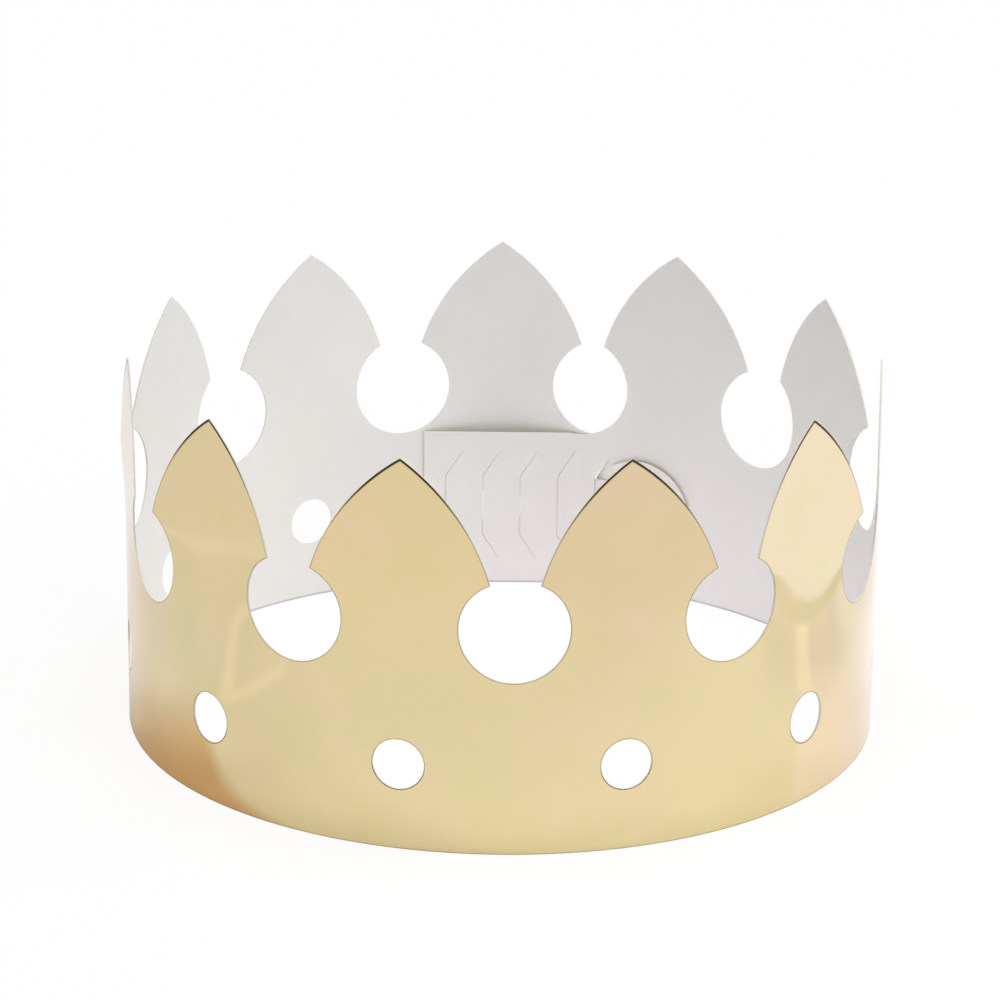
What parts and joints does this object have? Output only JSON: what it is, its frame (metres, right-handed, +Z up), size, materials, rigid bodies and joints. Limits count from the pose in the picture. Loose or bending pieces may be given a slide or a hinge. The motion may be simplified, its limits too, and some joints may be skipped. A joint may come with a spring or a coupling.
{
  "type": "paper crown",
  "caption": "Adjustable paper crown of foil-faced card: a ring of pointed arches with round holes, closed at the back by a tongue in a slitted tab.",
  "frame": {"origin": "centre of the ring at its bottom edge", "axes": "+Z up towards the points, -Y the front, +Y the overlap at the back"},
  "size_m": [0.1936, 0.1927, 0.0974],
  "materials": {
    "foil_card": "gold foil outside, plain white card inside, dark cut edges"
  },
  "bodies": {
    "root": {"crown": "foil_card"}
  },
  "joints": []
}
